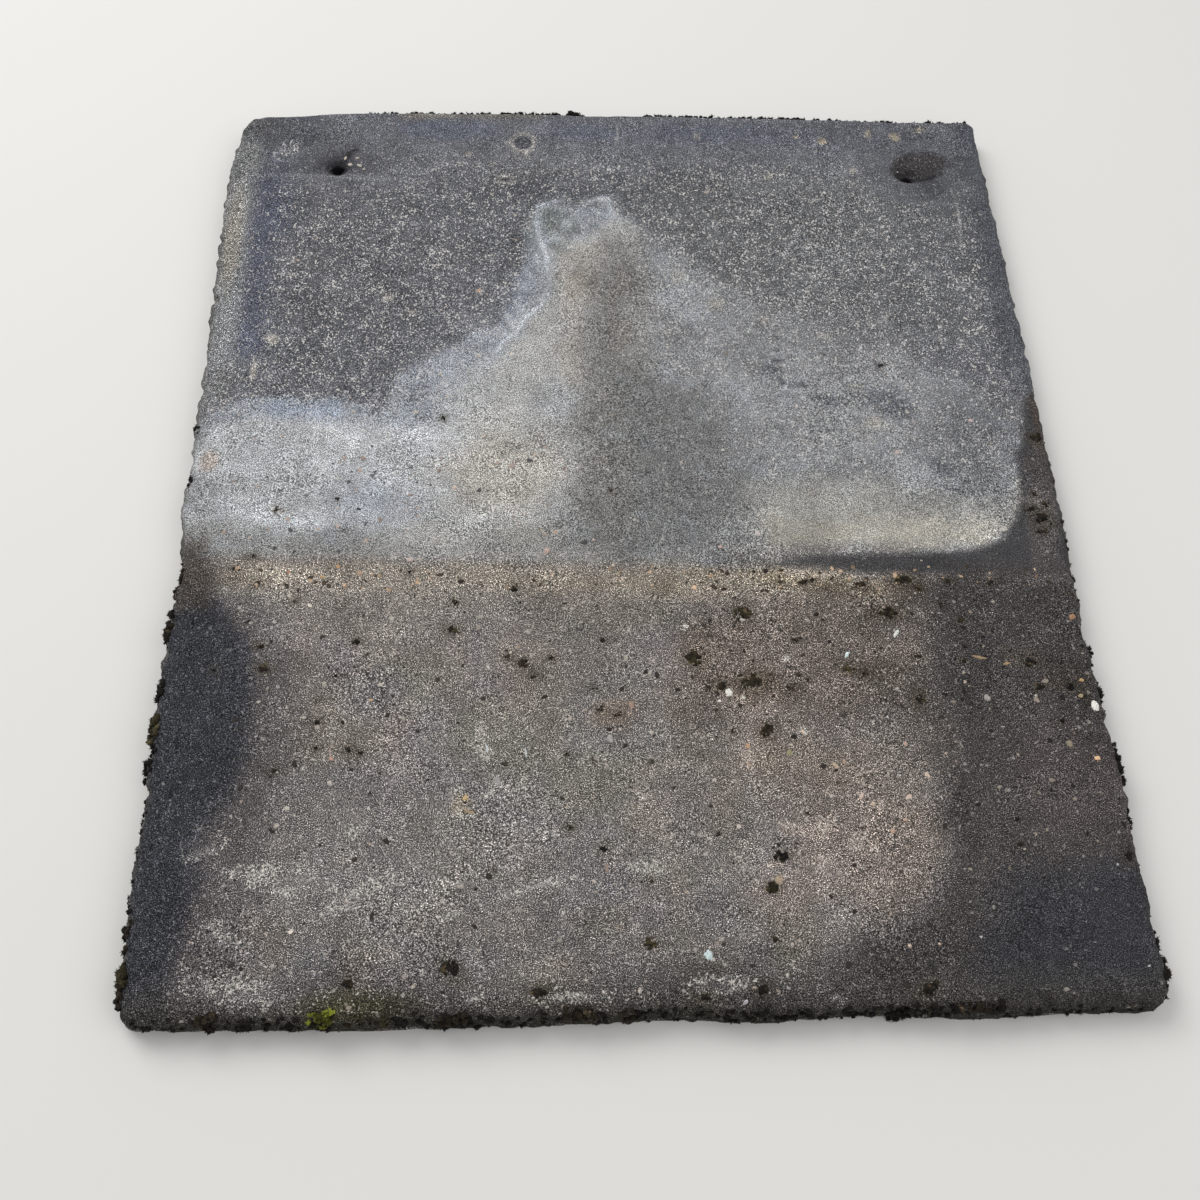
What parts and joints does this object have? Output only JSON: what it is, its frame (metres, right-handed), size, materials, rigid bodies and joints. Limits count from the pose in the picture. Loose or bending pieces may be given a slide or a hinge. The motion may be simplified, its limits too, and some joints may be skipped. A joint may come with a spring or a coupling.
{
  "type": "roof tile",
  "caption": "Flat rectangular cast stone roof tile with worn, uneven edges and nail holes near its head.",
  "frame": {"origin": "middle of the tile's outline, on its flat underside", "axes": "+X to the right across the tile, +Y along its length from tail to head, +Z out of its face"},
  "size_m": [0.41, 0.4899, 0.018],
  "materials": {
    "cast_stone": "weathered grey-brown cast stone, rough and gritty, with dark staining, pale lime haze and moss"
  },
  "bodies": {
    "root": {"roof_tile": "cast_stone"}
  },
  "joints": []
}
